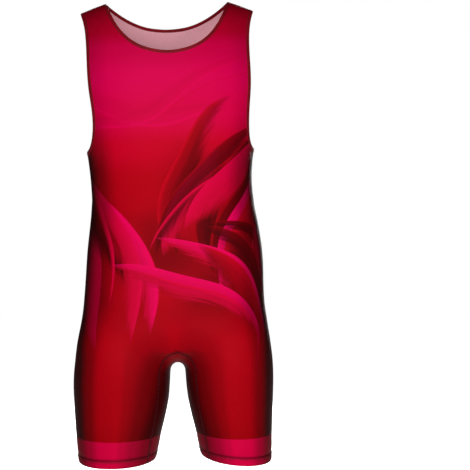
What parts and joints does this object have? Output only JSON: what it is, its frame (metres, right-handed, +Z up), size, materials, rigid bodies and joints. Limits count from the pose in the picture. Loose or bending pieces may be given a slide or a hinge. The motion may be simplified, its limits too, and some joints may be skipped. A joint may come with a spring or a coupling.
{
  "type": "wrestling singlet",
  "caption": "Sleeveless stretch singlet with a scooped neck, short legs, bound edges and contrast leg bands, filled out as if worn.",
  "frame": {"origin": "between the shoulder straps, at the height where the wearer's shoulders carry them", "axes": "+Z up, -Y towards the front of the garment, +X towards the right-hand side of the front view"},
  "size_m": [0.3862, 0.2388, 0.8837],
  "materials": {
    "stretch_knit_front": "satin stretch knit, crimson running to maroon",
    "stretch_knit_upper_back": "satin stretch knit, crimson",
    "stretch_knit_lower_back": "satin stretch knit, crimson running to maroon",
    "stretch_knit_gusset": "satin stretch knit, dark maroon",
    "leg_band_knit": "satin stretch knit, bright magenta red",
    "binding_knit": "folded knit binding, dark red"
  },
  "bodies": {
    "root": {"front_panel": "stretch_knit_front", "upper_back": "stretch_knit_upper_back", "lower_back": "stretch_knit_lower_back", "inner_leg_gusset": "stretch_knit_gusset", "left_leg_band": "leg_band_knit", "left_inner_band": "leg_band_knit", "right_leg_band": "leg_band_knit", "right_inner_band": "leg_band_knit", "neck_binding": "binding_knit", "left_armhole_binding": "binding_knit", "right_armhole_binding": "binding_knit"}
  },
  "joints": []
}
